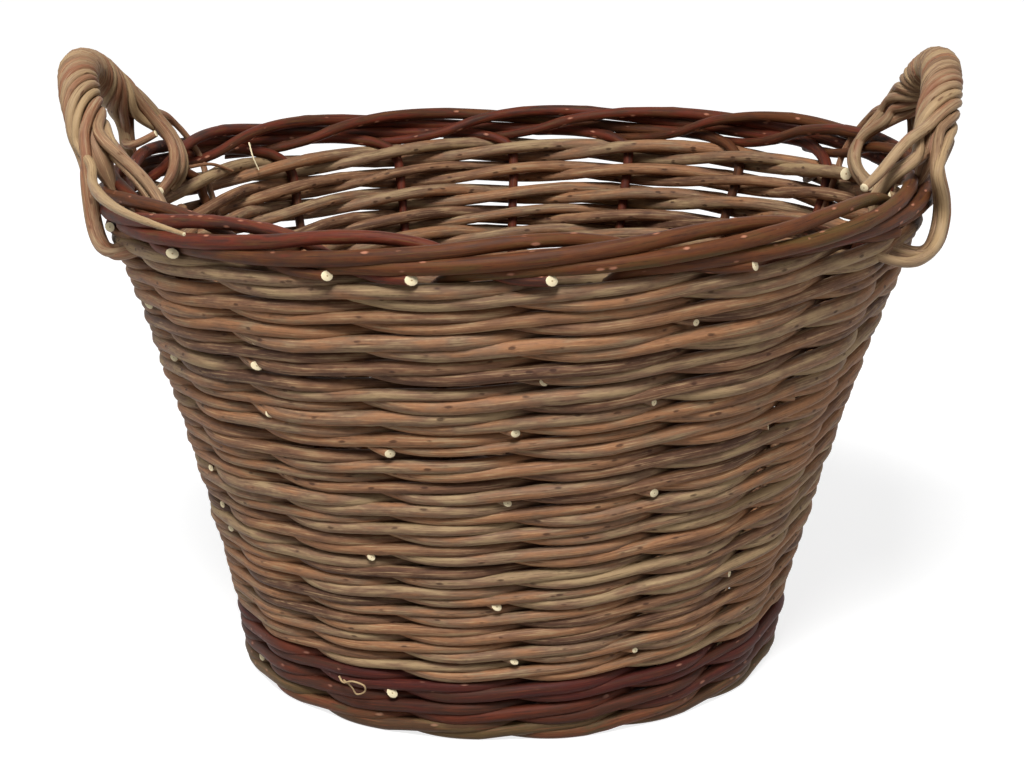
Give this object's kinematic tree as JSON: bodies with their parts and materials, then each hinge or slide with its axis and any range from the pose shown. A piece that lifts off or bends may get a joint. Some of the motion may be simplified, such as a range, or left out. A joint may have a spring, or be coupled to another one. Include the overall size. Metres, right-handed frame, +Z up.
{
  "type": "willow log basket",
  "caption": "Round willow basket with flared waled wall, braided rim of laid-down stakes and a roped loop handle at each side.",
  "frame": {"origin": "on the floor, under the middle of the basket's box", "axes": "+Z up out of the mouth; the handles stand on the X axis, the left one at -X; -Y is the side the picture shows"},
  "size_m": [0.5436, 0.505, 0.3782],
  "materials": {
    "foot_willow": "dark purple-red bark, satin",
    "wall_willow": "brown bark with tan and grey, satin",
    "stake_willow": "russet bark, satin",
    "base_willow": "brown bark, satin",
    "handle_willow": "tan bark, satin"
  },
  "bodies": {
    "root": {"foot_course_01": "foot_willow", "foot_course_02": "foot_willow", "foot_course_03": "foot_willow", "wall_course_01": "wall_willow", "wall_course_02": "wall_willow", "wall_course_03": "wall_willow", "wall_course_04": "wall_willow", "wall_course_05": "wall_willow", "wall_course_06": "wall_willow", "wall_course_07": "wall_willow", "wall_course_08": "wall_willow", "wall_course_09": "wall_willow", "wall_course_10": "wall_willow", "wall_course_11": "wall_willow", "wall_course_12": "wall_willow", "wall_course_13": "wall_willow", "wall_course_14": "wall_willow", "wall_course_15": "wall_willow", "wall_course_16": "wall_willow", "wall_course_17": "wall_willow", "wall_course_18": "wall_willow", "stake_01": "stake_willow", "stake_02": "stake_willow", "stake_03": "stake_willow", "stake_04": "stake_willow", "stake_05": "stake_willow", "stake_06": "stake_willow", "stake_07": "stake_willow", "stake_08": "stake_willow", "stake_09": "stake_willow", "stake_10": "stake_willow", "stake_11": "stake_willow", "stake_12": "stake_willow", "stake_13": "stake_willow", "stake_14": "stake_willow", "stake_15": "stake_willow", "stake_16": "stake_willow", "stake_17": "stake_willow", "base_slit_stick_1": "base_willow", "base_slit_stick_2": "base_willow", "base_slit_stick_3": "base_willow", "base_stick_1": "base_willow", "base_stick_2": "base_willow", "base_stick_3": "base_willow", "base_weaver_1": "base_willow", "base_weaver_2": "base_willow", "left_handle_bow": "handle_willow", "left_handle_rope_1": "handle_willow", "left_handle_rope_2": "handle_willow", "left_handle_rope_3": "handle_willow", "left_handle_rope_4": "handle_willow", "right_handle_bow": "handle_willow", "right_handle_rope_1": "handle_willow", "right_handle_rope_2": "handle_willow", "right_handle_rope_3": "handle_willow", "right_handle_rope_4": "handle_willow"}
  },
  "joints": []
}
